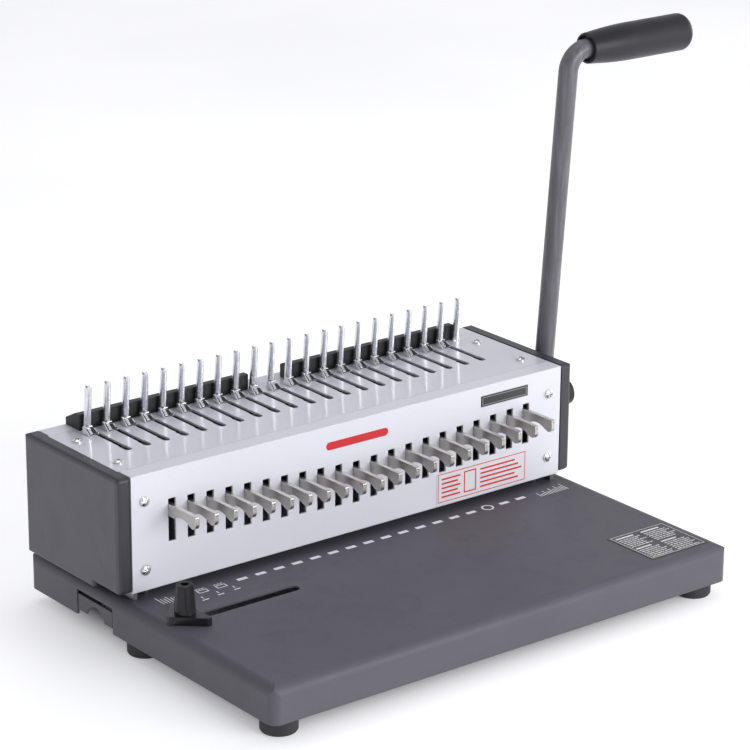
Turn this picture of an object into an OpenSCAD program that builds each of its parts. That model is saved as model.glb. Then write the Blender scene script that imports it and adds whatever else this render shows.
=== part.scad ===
// Comb binding machine: one lever punches a row of 21 rectangular holes and opens a plastic comb.
// Millimetres. It stands on the table at Z = 0. +X runs to the right along the punch row,
// +Y to the rear, +Z up. All modules are drawn with X = 0 at the middle punch hole and Y = 0 at
// the outer face of the front panel; place() then moves the origin to the middle of the outline.

/* [Punch row] */
// Distance from one punch hole to the next
pitch = 14.2875; // [14.25:0.0125:14.3]
// Width of a punched hole along the row
pin_w = 8; // [6:0.5:8.4]
// Thickness of a punch pin, front to back
pin_t = 3; // [2.5:0.1:3.2]
// How much lower the middle of the row sits than its ends
row_dip = 8.57; // [5:0.01:8.8]
// Distance from the front panel to the middle of the punch pins
pin_y = 22; // [21.8:0.1:22.4]

/* [Base] */
// Left edge of the base, from the middle hole
base_x0 = -179.2; // [-181:0.1:-178.5]
// Right edge of the base, from the middle hole
base_x1 = 184.3; // [182:0.1:185.5]
// Front edge of the base, from the front panel
base_y0 = -154; // [-165:1:-146]
// Rear edge of the base, from the front panel
base_y1 = 109; // [107:1:114]
// Height of the folded skirt
skirt_h = 24.4; // [24.4:0.1:26]
// Sheet thickness of the base
base_t = 1.5; // [1.2:0.1:1.6]
// Bend radius along the edges of the base
base_r = 6.5; // [5:0.5:7]
// Height of the rubber feet
foot_h = 10; // [8:0.5:12]
// Radius of a rubber foot
foot_r = 11.6; // [10:0.2:12]

/* [Casing] */
// Left edge of the front panel
panel_x0 = -172.4; // [-172.6:0.1:-172.2]
// Right edge of the front panel
panel_x1 = 173.2; // [173:0.1:173.4]
// Depth of the casing
case_d = 103.7; // [102:0.1:105]
// Height of the casing's top above the base
case_h = 81.6; // [81:0.1:82.5]
// Sheet thickness of the casing
case_t = 1.5; // [1.2:0.1:1.5]
// Depth of the panel's folded top edge
fold_d = 12.5; // [10:0.5:16]
// Outer face of the left end cap
cap_x0 = -182.5; // [-184:0.1:-181]
// Outer face of the right end cap
cap_x1 = 183.2; // [182.4:0.1:183.4]

/* [Pin pulls] */
// Height of a slot in the front panel
slot_h = 28.2; // [28:0.1:28.6]
// Width of a slot in the front panel
slot_w = 5.5; // [5.3:0.1:6]
// Thickness of a pin pull
pull_t = 2.8; // [2:0.1:3]
// Height of a pin pull
pull_h = 8; // [7:0.1:8]
// How far a pin pull stands out of the panel
pull_out = 29.2; // [26:0.2:32]

/* [Lever] */
// Distance from the shaft to the grip
lever_len = 247.8; // [220:0.2:270]
// Radius of the lever's rod
rod_r = 6.5; // [6:0.1:7]
// Forward lean of the lever at rest, in degrees
lever_lean = 4.65; // [0:0.05:8]
// Far end of the grip
grip_x1 = 295; // [288:1:302]
// Swing of the lever, in degrees
lever_swing = 85; // [80:1:85]

/* [Comb opener] */
// Height of the fixed prongs above the top plate
prong_h = 31.5; // [26:0.5:34]
// Distance from the front panel to the prongs
prong_y = 84.5; // [84:0.25:85]
// Height of the moving hooks above the top plate
hook_h = 5.4; // [4.6:0.2:6]

/* [Side guide] */
// Middle of the guide slot, from the front panel
guide_y = -41.7; // [-46:0.1:-38]
// Width of the guide slot
guide_w = 8.6; // [8:0.1:9]
// Place of the clamp knob along the row at rest
guide_x = -162.7; // [-163:0.1:-160]
// Height of the clamp knob
knob_h = 18.4; // [16:0.2:22]

/* [Hidden] */
$fn = 48;
eps = 0.01;       // overlap of joined parts
sides = [-1, 1];  // left, right

charcoal = [0.33, 0.32, 0.36];
silver = [0.84, 0.85, 0.90];
nickel = [0.68, 0.67, 0.64];
bright = [0.85, 0.86, 0.88];
steel = [0.55, 0.56, 0.58];
brass = [0.72, 0.55, 0.28];
black = [0.08, 0.08, 0.09];

// heights above the table
base_z = foot_h + skirt_h;       // top of the base
under_z = base_z - base_t;       // underside of the base sheet
top_z = base_z + case_h;         // top of the casing
panel_z0 = base_z + 5.2;         // lower edge of the front panel
slot_top = base_z + 61.5;        // top of the outermost panel slots
pull_top = slot_top - 3.2;       // top of the outermost pin pulls

// punch row
n_holes = 21;
mid = 11;                        // number of the middle hole
pull_dx = -1.05;                 // the pulls lie against the left side of their slots
slot_dx = -2.5;                  // left side of a slot, from the middle of its hole
throat_h = 3;                    // height of the throat that the paper goes into

// die plate, paper stop and punch guide
bar_x = 156;                     // half length
bar_y0 = 14.5;
bar_y1 = 33.5;
die_h = 6;
die_screw_x = 153.3;
die_screw_y = 28;

// shaft
shaft_y = 41.9;
shaft_z = base_z + 43.1;
shaft_r = 7;
bush_r = 10;

// comb drive: toothed sector and rack
gear_m = 1.5;                    // module
gear_n = 30;                     // teeth on a full circle
gear_r = gear_m * gear_n / 2;    // pitch radius
gear_p = PI * gear_m;            // tooth pitch
gear_play = 0.06;                // taken off each tooth flank
root_depth = 1.25 * gear_m;
pressure = 20;                   // pressure angle
drive_x = 164;                   // middle of the sectors and racks
rack_z = shaft_z + gear_r;       // pitch line of the racks
rack_h = 6;                      // top of a rack above its pitch line
rack_pin_z = shaft_z + 26;
rack_pin_r = 3;
carriage_z = rack_z + rack_h;
carriage_t = 4;
carriage_y1 = 90;

// cam: its support distance grows in proportion to the angle, so the flat follower sinks evenly
stroke = 14;                     // travel of the punch beam
cam_h0 = 10;                     // support distance at rest
cam_k = stroke / (lever_swing * PI / 180);

// lever
boss_x0 = 184;
boss_x1 = 202;
rod_x = 193;
bend_r = 14;

// side frames, beam and guide posts
frame_x = 168;                   // inner face
frame_t = 3;
frame_mid = frame_x + frame_t / 2;
post_x = 158;
post_y = 9.6;
post_r = 4;
beam_z0 = base_z + 35.6;
beam_z1 = base_z + 62.4;

// screws: places along X, along Y, and heights above the base
screw_r = 2;                     // shank radius in the base, feet, die and frames
frame_screw_y = [62, 90];
case_screw_r = 1.6;
side_screw_x = 163;
front_screw_z = [19, 64.1];
rear_screw_z = [16, 46];
top_screw_x = [-163.8, 160.4];
top_screw_y = [26.5, 72.4];

// top plate
plate_x0 = panel_x0 - 1.2;
plate_y1 = 91.8;
keyhole_x0 = -145.8;             // leftmost keyhole

function hole_x(i) = (i - mid) * pitch;
// height of a place in the V of the row, from the ends of the row
function dip(i) = -row_dip * (1 - abs(i - mid) / (mid - 1));
function pull_z(i) = pull_top + dip(i);
function hook_x(i) = keyhole_x0 + i * pitch;
function prong_x(i) = hook_x(i) - 2.4;

// ---------- helpers ----------
module place() {
    translate([-(cap_x0 + grip_x1) / 2, -(base_y0 + base_y1) / 2, 0]) children();
}
// x0 and x1 may come in either order, here and in xcyl
module box(x0, x1, y0, y1, z0, z1) {
    translate([min(x0, x1), y0, z0]) cube([abs(x1 - x0), y1 - y0, z1 - z0]);
}
// box centred on x
module box_at(x, width, y0, y1, z0, z1) {
    box(x - width / 2, x + width / 2, y0, y1, z0, z1);
}
// 2-D shape in (Y, Z), extruded from x0 to x1
module along_x(x0, x1) {
    translate([x0, 0, 0]) rotate([90, 0, 90]) linear_extrude(x1 - x0) children();
}
// 2-D shape in (X, Z), extruded from y0 to y1
module along_y(y0, y1) {
    translate([0, y1, 0]) rotate([90, 0, 0]) linear_extrude(y1 - y0) children();
}
module xcyl(r, x0, x1, y, z) {
    translate([min(x0, x1), y, z]) rotate([0, 90, 0]) cylinder(r = r, h = abs(x1 - x0));
}
module ycyl(r, y0, y1, x, z) {
    translate([x, y1, z]) rotate([90, 0, 0]) cylinder(r = r, h = y1 - y0);
}
module zcyl(r, z0, z1, x, y) {
    translate([x, y, z0]) cylinder(r = r, h = z1 - z0);
}
// rectangle with rounded corners
module rrect(x0, x1, y0, y1, r) {
    translate([x0 + r, y0]) square([x1 - x0 - 2 * r, y1 - y0]);
    translate([x0, y0 + r]) square([x1 - x0, y1 - y0 - 2 * r]);
    for (x = [x0 + r, x1 - r], y = [y0 + r, y1 - r]) translate([x, y]) circle(r = r);
}
// box with all its edges rounded
module rbox(x0, x1, y0, y1, z0, z1, r) {
    intersection() {
        translate([0, 0, z0]) linear_extrude(z1 - z0) rrect(x0, x1, y0, y1, r);
        along_y(y0, y1) rrect(x0, x1, z0, z1, r);
        along_x(x0, x1) rrect(y0, y1, z0, z1, r);
    }
}
// slot shape with two round ends, lying along its longer side
module oblong(x0, x1, y0, y1) {
    size = [x1 - x0, y1 - y0];
    r = min(size) / 2;
    inset = size[0] > size[1] ? [r, 0] : [0, r];
    translate([x0, y0] + inset) square(size - 2 * inset);
    for (end = [0, 1]) translate([x0 + r, y0 + r] + end * (size - [2 * r, 2 * r])) circle(r = r);
}
// pan-head screw, underside of the head at z = 0, shank along -Z, with a cross recess
module pan_screw(head_r, head_h, shank_r, shank_l) {
    dome_r = head_r * 1.35;
    difference() {
        union() {
            cylinder(r = head_r, h = head_h * 0.45);
            intersection() {
                translate([0, 0, head_h - dome_r]) sphere(r = dome_r);
                cylinder(r = head_r, h = head_h);
            }
            translate([0, 0, -shank_l]) cylinder(r = shank_r, h = shank_l + eps);
        }
        for (a = [0, 90])
            rotate(a) translate([-head_r * 0.55, -head_r * 0.13, head_h * 0.4])
                cube([head_r * 1.1, head_r * 0.26, head_h]);
    }
}
// casing screw holes along Y at the given sides and heights above the base
module wall_screw_holes(at_sides, heights, y0, y1) {
    for (side = at_sides, z = heights)
        ycyl(case_screw_r, y0, y1, side * side_screw_x, base_z + z);
}

// ---------- base ----------
foot_recess = 4;
// X and Y of each foot
foot_at = [
    [base_x0 + 14.4, base_y0 + 14], [base_x0 + 14, -2], [base_x0 + 30, 88],
    [base_x1 - 15.5, base_y0 + 15.5], [base_x1 - 15.5, -2], [base_x1 - 30, 88]];

// hanging wall with a lip along its lower edge
module tray_runner(wall_y, lip_y) {
    x0 = -147;
    x1 = 150;
    box(x0, x1, wall_y, wall_y + 1.5, foot_h + 2.2, under_z + eps);
    box(x0, x1, lip_y, lip_y + 6.2, foot_h + 1.9, foot_h + 3.2);
}
module base_shell() {
    gap = 0.1;
    difference() {
        rbox(base_x0, base_x1, base_y0, base_y1, foot_h - 12, base_z, base_r);
        rbox(base_x0 + base_t, base_x1 - base_t, base_y0 + base_t, base_y1 - base_t,
             foot_h - 20, under_z, base_r - base_t);
        // cut the skirt off level with the feet
        box(base_x0 - 5, base_x1 + 5, base_y0 - 5, base_y1 + 5, foot_h - 30, foot_h);
        // slot of the side guide
        translate([0, 0, base_z - 5]) linear_extrude(10)
            oblong(-168.6, -77.4, guide_y - guide_w / 2, guide_y + guide_w / 2);
        // window for the die plate
        box(-bar_x - gap, bar_x + gap, bar_y0 - gap, bar_y1 + gap, base_z - 5, base_z + 5);
        // screw holes of the side frames
        for (side = sides, y = frame_screw_y)
            zcyl(screw_r, base_z - 5, base_z + 5, side * side_screw_x, y);
        // notch for the chip tray
        box(base_x0 - 5, base_x0 + 8, 13.3, 53.2, foot_h - 5, foot_h + 17);
    }
}
// folded-in flanges that carry the feet
module foot_flanges() {
    width = 44;
    difference() {
        translate([0, 0, foot_h]) linear_extrude(base_t) intersection() {
            rrect(base_x0 + 1, base_x1 - 1, base_y0 + 1, base_y1 - 1, base_r - 1);
            for (y = [[base_y0, 9.5], [62, base_y1]], x = [base_x0, base_x1 - width])
                translate([x, y[0]]) square([width, y[1] - y[0]]);
        }
        for (p = foot_at) zcyl(screw_r, foot_h - 2, foot_h + 5, p[0], p[1]);
    }
}
module base_plate() {
    color(charcoal) place() {
        base_shell();
        foot_flanges();
        tray_runner(wall_y = 11.5, lip_y = 11.5);
        tray_runner(wall_y = 52.9, lip_y = 48.2);
    }
}
module rubber_feet() {
    chamfer_h = 1.2;
    color(black) place() for (p = foot_at) translate([p[0], p[1], 0]) difference() {
        union() {
            cylinder(r1 = foot_r - 0.8, r2 = foot_r, h = chamfer_h);
            translate([0, 0, chamfer_h - eps]) cylinder(r = foot_r, h = foot_h - chamfer_h + eps);
        }
        translate([0, 0, -1]) cylinder(r = 5, h = foot_recess + 1);
        translate([0, 0, -1]) cylinder(r = screw_r, h = foot_h + 2);
    }
}
module foot_screws() {
    color(steel) place() for (p = foot_at)
        translate([p[0], p[1], foot_recess]) rotate([180, 0, 0])
            pan_screw(head_r = 4, head_h = 2.4, shank_r = screw_r, shank_l = foot_h - 0.5);
}

// ---------- punch unit ----------
module pin_holes(gap, z0, z1) {
    for (i = [1:n_holes])
        box_at(hole_x(i), pin_w + 2 * gap,
               pin_y - pin_t / 2 - gap, pin_y + pin_t / 2 + gap, z0, z1);
}
module die_screw_holes(z0, z1) {
    for (side = sides) zcyl(screw_r, z0, z1, side * die_screw_x, die_screw_y);
}
module die_plate() {
    color(steel) place() difference() {
        union() {
            box(-bar_x, bar_x, bar_y0, bar_y1, base_z - die_h, base_z);
            // ends that reach under the base sheet
            for (side = sides) box_at(side * 160, 9, bar_y0, bar_y1, base_z - die_h, under_z);
        }
        pin_holes(0.08, base_z - 8, base_z + 2);
        die_screw_holes(base_z - 8, base_z + 2);
    }
}
module paper_stop() {
    color(steel) place() difference() {
        union() {
            box(-bar_x, bar_x, pin_y + 4.5, bar_y1, base_z, base_z + throat_h);
            for (side = sides)
                box_at(side * 153.5, 5, bar_y0, bar_y1, base_z, base_z + throat_h);
        }
        die_screw_holes(base_z - 1, base_z + throat_h + 1);
    }
}
module punch_guide() {
    z0 = base_z + throat_h;
    z1 = z0 + 10;
    color(steel) place() difference() {
        box(-bar_x, bar_x, bar_y0, bar_y1, z0, z1);
        pin_holes(0.05, z0 - 1, z1 + 1);
        die_screw_holes(z0 - 1, z0 + 7);
    }
}
module die_screws() {
    color(steel) place() for (side = sides)
        translate([side * die_screw_x, die_screw_y, base_z - die_h]) rotate([180, 0, 0])
            pan_screw(head_r = 3.4, head_h = 2.6, shank_r = screw_r, shank_l = 15);
}
// side view (Y, Z): straight top edge, blunt tip with a round lobe under it, arched underside
module pull_shape(top) {
    lobe_r = 3.6;
    tip_r = 1.1;
    lobe_z = top - 5.2;
    arch_r = 13.6;
    difference() {
        union() {
            translate([-pull_out + lobe_r, top - pull_h]) square([26 + pull_out - lobe_r, pull_h]);
            translate([-pull_out, lobe_z]) square([3.7, 4.1]);
            translate([-pull_out + tip_r, lobe_z]) square([3, 5.2]);
            translate([-pull_out + tip_r, top - tip_r]) circle(r = tip_r);
            translate([-pull_out + lobe_r, lobe_z]) circle(r = lobe_r);
        }
        translate([-14.4, top - 5.4 - arch_r]) circle(r = arch_r, $fn = 96);
    }
}
module pin_pull(i) {
    x = hole_x(i) + pull_dx;
    color(nickel) place() difference() {
        translate([x, 0, 0]) along_x(-pull_t / 2, pull_t / 2) pull_shape(pull_z(i));
        // small blind hole in the tip
        translate([x, -pull_out, pull_z(i) - 1.9]) rotate([-90, 0, 0])
            translate([0, 0, -1]) cylinder(r = 0.6, h = 1.6);
    }
}
// the pins follow the V of the row
module punch_pins() {
    color(steel) place() for (i = [1:n_holes])
        box_at(hole_x(i), pin_w, pin_y - pin_t / 2, pin_y + pin_t / 2,
               base_z + throat_h + 0.2 + row_dip + dip(i), pull_z(i) - pull_h);
}
module punch_beam() {
    y0 = 8.5;
    y1 = 29;
    gap = 0.05;
    follower_z1 = shaft_z - cam_h0;
    follower_z0 = follower_z1 - 5.5;
    color(steel) place() difference() {
        union() {
            box(-154, 154, y0, y1, beam_z0, beam_z1);
            for (side = sides) {
                // lug that slides on the guide post
                box_at(side * post_x, 16, 4.5, 15.5, beam_z0, beam_z1);
                // web and flat follower under the cam
                box_at(side * 150.5, 4, y0, y1, follower_z0, beam_z0 + 1);
                box_at(side * 155, 13, 24, 40, follower_z0, follower_z1);
            }
        }
        for (i = [1:n_holes]) {
            // channel for the pull, then the pocket for the pin below it
            box_at(hole_x(i) + pull_dx, pull_t + 4 * gap, 5, 27,
                   pull_z(i) - pull_h - gap, pull_z(i) + gap);
            box_at(hole_x(i), pin_w + 2 * gap, pin_y - pin_t / 2 - gap, pin_y + pin_t / 2 + gap,
                   beam_z0 - 1, pull_z(i) - pull_h + 0.5);
        }
        for (side = sides) zcyl(post_r + gap, beam_z0 - 1, beam_z1 + 1, side * post_x, post_y);
    }
}
module beam_guide_posts() {
    color(bright) place() for (side = sides)
        zcyl(post_r, base_z, base_z + 63.7, side * post_x, post_y);
}
// coil spring: rings of points around the wire, one ring for each step along the helix
module coil(r, wire_r, z0, z1, turns, turn_steps = 12, ring = 6) {
    n = turns * turn_steps;
    points = [
        for (i = [0:n])
            let (a = 360 * i / turn_steps, z = z0 + wire_r + (z1 - z0 - 2 * wire_r) * i / n)
            for (j = [0:ring - 1])
                let (b = 360 * j / ring, reach = r + wire_r * cos(b))
                [reach * cos(a), reach * sin(a), z + wire_r * sin(b)]];
    walls = [
        for (i = [0:n - 1], j = [0:ring - 1])
            let (k = (j + 1) % ring, here = i * ring, next = here + ring)
            [next + j, next + k, here + k, here + j]];
    ends = [[for (j = [0:ring - 1]) j], [for (j = [ring - 1:-1:0]) n * ring + j]];
    polyhedron(points = points, faces = concat(walls, ends));
}
module beam_springs() {
    color(steel) place() for (side = sides) translate([side * post_x, post_y, 0])
        coil(r = 4.65, wire_r = 0.5, z0 = base_z, z1 = beam_z0, turns = 7);
}

// ---------- side frames ----------
module side_frame(side) {
    tab_x = side * side_screw_x;
    tab_w = 11;
    cut_x = side * frame_mid;
    difference() {
        union() {
            box_at(cut_x, frame_t, 2, 101.5, base_z, top_z - 3.5);
            // tabs behind the panel, under the top plate and at the rear
            for (z = front_screw_z) box_at(tab_x, tab_w, 1.5, 3.5, base_z + z - 5, base_z + z + 5);
            for (y = top_screw_y) box_at(tab_x, tab_w, y - 5, y + 5, top_z - 3.5, top_z - 1.5);
            for (z = rear_screw_z)
                box_at(tab_x, tab_w, 100.2, 102.2, base_z + z - 5, base_z + z + 5);
            // foot flange
            box_at(side * 163.5, tab_w, 46, 98, base_z, base_z + 3);
        }
        xcyl(bush_r, cut_x - 5, cut_x + 5, shaft_y, shaft_z);
        // slot for the pins of the rack
        along_x(cut_x - 5, cut_x + 5)
            oblong(37.4, 90.3, rack_pin_z - rack_pin_r - 0.06, rack_pin_z + rack_pin_r + 0.06);
        wall_screw_holes([side], front_screw_z, 0, 5);
        for (y = top_screw_y)
            zcyl(case_screw_r, top_z - 5, top_z, top_screw_x[side > 0 ? 1 : 0], y);
        wall_screw_holes([side], rear_screw_z, 99, 104);
        for (y = frame_screw_y) zcyl(screw_r, base_z - 1, base_z + 5, tab_x, y);
    }
}
module left_side_frame() {
    color(steel) place() side_frame(-1);
}
module right_side_frame() {
    color(steel) place() side_frame(1);
}
module frame_screws() {
    color(steel) place() for (side = sides, y = frame_screw_y)
        translate([side * side_screw_x, y, base_z + 3])
            pan_screw(head_r = 3.6, head_h = 2.6, shank_r = screw_r, shank_l = 6);
}
module shaft_bushes() {
    color(brass) place() for (side = sides) difference() {
        union() {
            xcyl(bush_r, side * frame_x, side * (frame_x + 7), shaft_y, shaft_z);
            // flange inside the frame
            xcyl(12.5, side * (frame_x - 1.4), side * frame_x, shaft_y, shaft_z);
        }
        xcyl(shaft_r + 0.05, side * frame_x - 12, side * frame_x + 12, shaft_y, shaft_z);
    }
}

// ---------- casing ----------
module front_panel() {
    color(silver) place() difference() {
        union() {
            box(panel_x0, panel_x1, 0, case_t, panel_z0, top_z);
            box(panel_x0, panel_x1, 0, fold_d, top_z - case_t, top_z);
            // folded lower edge
            box(-149, 149, 0, 6.5, panel_z0, panel_z0 + case_t);
        }
        for (i = [1:n_holes]) {
            x = hole_x(i) + slot_dx;
            z = slot_top + dip(i);
            box(x, x + slot_w, -1, case_t + 1, z - slot_h, z);
        }
        wall_screw_holes(sides, front_screw_z, -1, 5);
    }
}
// slot with a wider front part
module keyhole() {
    y0 = 40.2;
    oblong(-2, 2, y0, 81.9);
    oblong(-2.5, 2.5, y0, 51);
}
module top_plate() {
    z0 = top_z - 5;
    z1 = top_z + 5;
    color(silver) place() difference() {
        box(plate_x0, panel_x1 - 0.1, fold_d + 0.1, plate_y1, top_z - case_t, top_z);
        translate([0, 0, z0]) linear_extrude(z1 - z0)
            for (i = [0:n_holes - 1]) translate([hook_x(i), 0]) keyhole();
        for (i = [0:n_holes]) box_at(prong_x(i), 5.5, prong_y - 1.8, prong_y + 1.35, z0, z1);
        for (x = top_screw_x, y = top_screw_y) zcyl(case_screw_r, z0, z1, x, y);
    }
}
// rear wall with its top edge folded forward over the casing
module rear_cover() {
    x0 = panel_x0 + 0.1;
    x1 = panel_x1 - 0.1;
    color(silver) place() difference() {
        union() {
            box(x0, x1, case_d - case_t, case_d, base_z + 1.8, top_z);
            box(x0, x1, plate_y1 + 0.15, case_d, top_z - case_t, top_z);
        }
        wall_screw_holes(sides, rear_screw_z, 99, 106);
    }
}
cap_step_y = 28;  // the lower edge of an end cap steps down behind this
// end cap: rounded shell with a stepped lower edge, open towards the casing, on four inner bosses
module cap(outer_x, rim_x, boss_x) {
    inward = outer_x < rim_x ? 1 : -1;
    x0 = min(outer_x, outer_x + inward * 30);
    x1 = x0 + 30;
    wall = 2;
    wall_x = outer_x + inward * wall;
    y1 = case_d + 1.8;
    front_z = base_z + 5.6;
    rear_z = base_z + 1.6;
    lap_z = top_z - 20;
    z1 = top_z + 0.3;
    difference() {
        union() {
            rbox(x0, x1, 0, y1, front_z, z1, 3);
            rbox(x0, x1, cap_step_y, y1, rear_z, lap_z, 3);
        }
        box(rim_x, rim_x + inward * 40, -1, y1 + 1, base_z - 5, top_z + 5);
        box(wall_x, rim_x + inward, wall, y1 - wall, front_z + wall, z1 - wall);
        box(wall_x, rim_x + inward, cap_step_y + wall, y1 - wall, rear_z + wall, lap_z);
    }
    for (y = [12, 92], z = [base_z + 20, base_z + 56])
        xcyl(4, outer_x + inward * (wall - 0.1), boss_x, y, z);
}
module left_end_cap() {
    color(charcoal) place() difference() {
        cap(outer_x = cap_x0, rim_x = panel_x0 - 0.8, boss_x = -frame_x - frame_t);
        // notch for the edge of the top plate
        box(plate_x0 - 0.15, panel_x0, fold_d, plate_y1 + 0.1, top_z - 5, top_z + 1);
    }
}
module right_end_cap() {
    corner_z = base_z + 5.5;
    color(charcoal) place() difference() {
        cap(outer_x = cap_x1, rim_x = panel_x1 + 0.7, boss_x = frame_x + frame_t);
        // hole for the shaft
        xcyl(9, cap_x1 - 6, cap_x1 + 6, shaft_y, shaft_z);
        // slanted lower corner at the front
        along_y(-1, cap_step_y)
            polygon([[cap_x1 - 5, corner_z], [cap_x1 + 1, corner_z], [cap_x1 + 1, base_z + 9.2]]);
    }
}
module casing_screw() {
    pan_screw(head_r = 3.4, head_h = 2, shank_r = case_screw_r, shank_l = 4.2);
}
module casing_screws() {
    color(bright) place() {
        for (side = sides, z = front_screw_z)
            translate([side * side_screw_x, 0, base_z + z]) rotate([90, 0, 0]) casing_screw();
        for (x = top_screw_x, y = top_screw_y) translate([x, y, top_z]) casing_screw();
        for (side = sides, z = rear_screw_z)
            translate([side * side_screw_x, case_d, base_z + z]) rotate([-90, 0, 0])
                casing_screw();
    }
}

// ---------- comb prongs and hooks ----------
prong_w = 5;
prong_sink = 3;    // length below the top of the plate
prong_lean = 3.5;  // forward lean in degrees
hook_y0 = 75.4;
hook_y1 = 82.2;

// channel of bent sheet, open to the rear, tapered to a rounded tip
module prong() {
    length = prong_h + prong_sink;
    half = prong_w / 2;
    intersection() {
        difference() {
            translate([0, 1, 0]) cylinder(r = half + 0.1, h = length);
            translate([0, 1, -1]) cylinder(r = half - 0.9, h = length + 3);
            translate([-prong_w, 1.2, -1]) cube([2 * prong_w, prong_w, length + 3]);
        }
        translate([0, 5, 0]) rotate([90, 0, 0]) linear_extrude(12) union() {
            polygon([[-half - 0.1, 0], [half + 0.1, 0],
                     [half - 0.45, length - half], [-half + 0.45, length - half]]);
            translate([0, length - half + 0.45]) circle(r = half - 0.5);
        }
    }
}
// collar around the front and sides of a prong's foot
module prong_collar() {
    difference() {
        translate([-3.4, -1.8, 0]) cube([6.8, 3.6, 1.1]);
        translate([-2.75, -0.5, -1]) cube([5.45, 5, 5]);
    }
}
module comb_prongs() {
    color(bright) place() for (i = [0:n_holes]) translate([prong_x(i), prong_y, top_z]) {
        rotate([prong_lean, 0, 0]) translate([0, 0, -prong_sink]) prong();
        prong_collar();
    }
}
// side view (Y, Z) of the head that holds a comb finger
module hook_head() {
    tip_z = top_z + hook_h;
    polygon([[hook_y0, top_z + 0.4], [hook_y1, top_z + 0.4], [hook_y1, tip_z - 0.8],
             [hook_y1 - 0.8, tip_z], [hook_y1 - 1.9, tip_z], [hook_y0, top_z + 1.3]]);
}
module comb_hooks() {
    leaf_x = 0.7;
    tip_z = top_z + hook_h;
    color(bright) place() for (i = [0:n_holes - 1]) translate([hook_x(i), 0, 0]) {
        // leaf with its stem through the slot
        box(-leaf_x, leaf_x, 76.4, 81.4, carriage_z + carriage_t, top_z + 1);
        along_x(-leaf_x, leaf_x) hook_head();
        // second leaf to its left and the bend that joins them
        along_x(-7.4, -6.5) hook_head();
        box(-7, 0.2, hook_y1 - 1.5, hook_y1 - 0.1, tip_z - 2.4, tip_z - 0.8);
    }
}
module comb_carriage() {
    color(steel) place() difference() {
        box(-165.8, 165.8, 70, carriage_y1, carriage_z, carriage_z + carriage_t);
        // a hole between each two hooks
        for (i = [0:n_holes - 2]) zcyl(2.5, carriage_z - 1, carriage_z + 6, hook_x(i + 0.5), 85);
    }
}
// side view (Y, Z) of a rack, teeth down
module rack_side() {
    y0 = 38.2;
    half_tooth = gear_p / 4 - gear_play;
    slope = tan(pressure);
    root = 2;
    wide = half_tooth + root * slope;
    narrow = half_tooth - gear_m * slope;
    translate([y0, rack_z + root_depth]) square([carriage_y1 - y0, rack_h - root_depth]);
    for (k = [0:8]) translate([shaft_y + (k + 0.5) * gear_p, rack_z])
        polygon([[-wide, root], [-narrow, -gear_m], [narrow, -gear_m], [wide, root]]);
}
module carriage_racks() {
    color(steel) place() for (side = sides) {
        along_x(side * drive_x - 2, side * drive_x + 2) rack_side();
        for (y = [74, 87])
            xcyl(rack_pin_r, side * 168.4 - 2.5, side * 168.4 + 2.5, y, rack_pin_z);
    }
}

// ---------- lever, shaft, cams and sectors ----------
// involute teeth: angles in degrees
function involute(a) = tan(a) * 180 / PI - a;
function tooth_half(r) =
    let (a = acos(min(1, gear_r * cos(pressure) / r)))
    90 / gear_n - gear_play / gear_r * 180 / PI + involute(pressure) - involute(a);
// angle measured from straight up towards the rear
function polar(r, a) = [r * sin(a), r * cos(a)];

gear_base_r = gear_r * cos(pressure);
flank_r = [for (q = [0:5]) gear_base_r + (gear_r + gear_m - gear_base_r) * q / 5];
root_r = gear_r - root_depth;
foot_half = tooth_half(flank_r[0]) + 0.2;
half_step = 180 / gear_n;
last_tooth = 8;
sector_outline = concat(
    [[0, 0]],
    [for (k = [-1:last_tooth]) let (mid_a = k * 2 * half_step) each concat(
        [polar(root_r, mid_a - half_step), polar(root_r, mid_a - foot_half)],
        [for (r = flank_r) polar(r, mid_a - tooth_half(r))],
        [for (q = [5:-1:0]) polar(flank_r[q], mid_a + tooth_half(flank_r[q]))],
        [polar(root_r, mid_a + foot_half)])],
    [polar(root_r, (2 * last_tooth + 1) * half_step)]);

module rack_sectors() {
    half_t = 1.8;
    color(steel) place() for (side = sides) {
        x = side * drive_x;
        difference() {
            union() {
                along_x(x - half_t, x + half_t)
                    translate([shaft_y, shaft_z]) polygon(sector_outline);
                xcyl(12, x - half_t, x + half_t, shaft_y, shaft_z);
            }
            xcyl(shaft_r, x - 5, x + 5, shaft_y, shaft_z);
        }
    }
}
// cam outline (Y, Z) about the shaft, angles from straight down towards the front
cam_steps = 24;
function cam_round(a) = [-cam_h0 * sin(a), -cam_h0 * cos(a)];
cam_outline = concat(
    [for (q = [0:cam_steps])
        let (a = lever_swing * q / cam_steps, h = cam_h0 + cam_k * a * PI / 180)
        [-h * sin(a) - cam_k * cos(a), -h * cos(a) + cam_k * sin(a)]],
    [for (a = [100:20:260]) cam_round(a)],
    [for (a = [-60, -30, 0]) cam_round(a)]);
module punch_cams() {
    color(steel) place() for (side = sides) {
        x = side * 158;
        difference() {
            along_x(x - 3, x + 3) translate([shaft_y, shaft_z]) polygon(cam_outline);
            xcyl(shaft_r, x - 5, x + 5, shaft_y, shaft_z);
        }
    }
}
bolt_r = 5;
module main_shaft() {
    color(steel) place() difference() {
        xcyl(shaft_r, -175.5, boss_x1, shaft_y, shaft_z);
        xcyl(bolt_r, boss_x1 - 16, boss_x1 + 1, shaft_y, shaft_z);
    }
}
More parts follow.
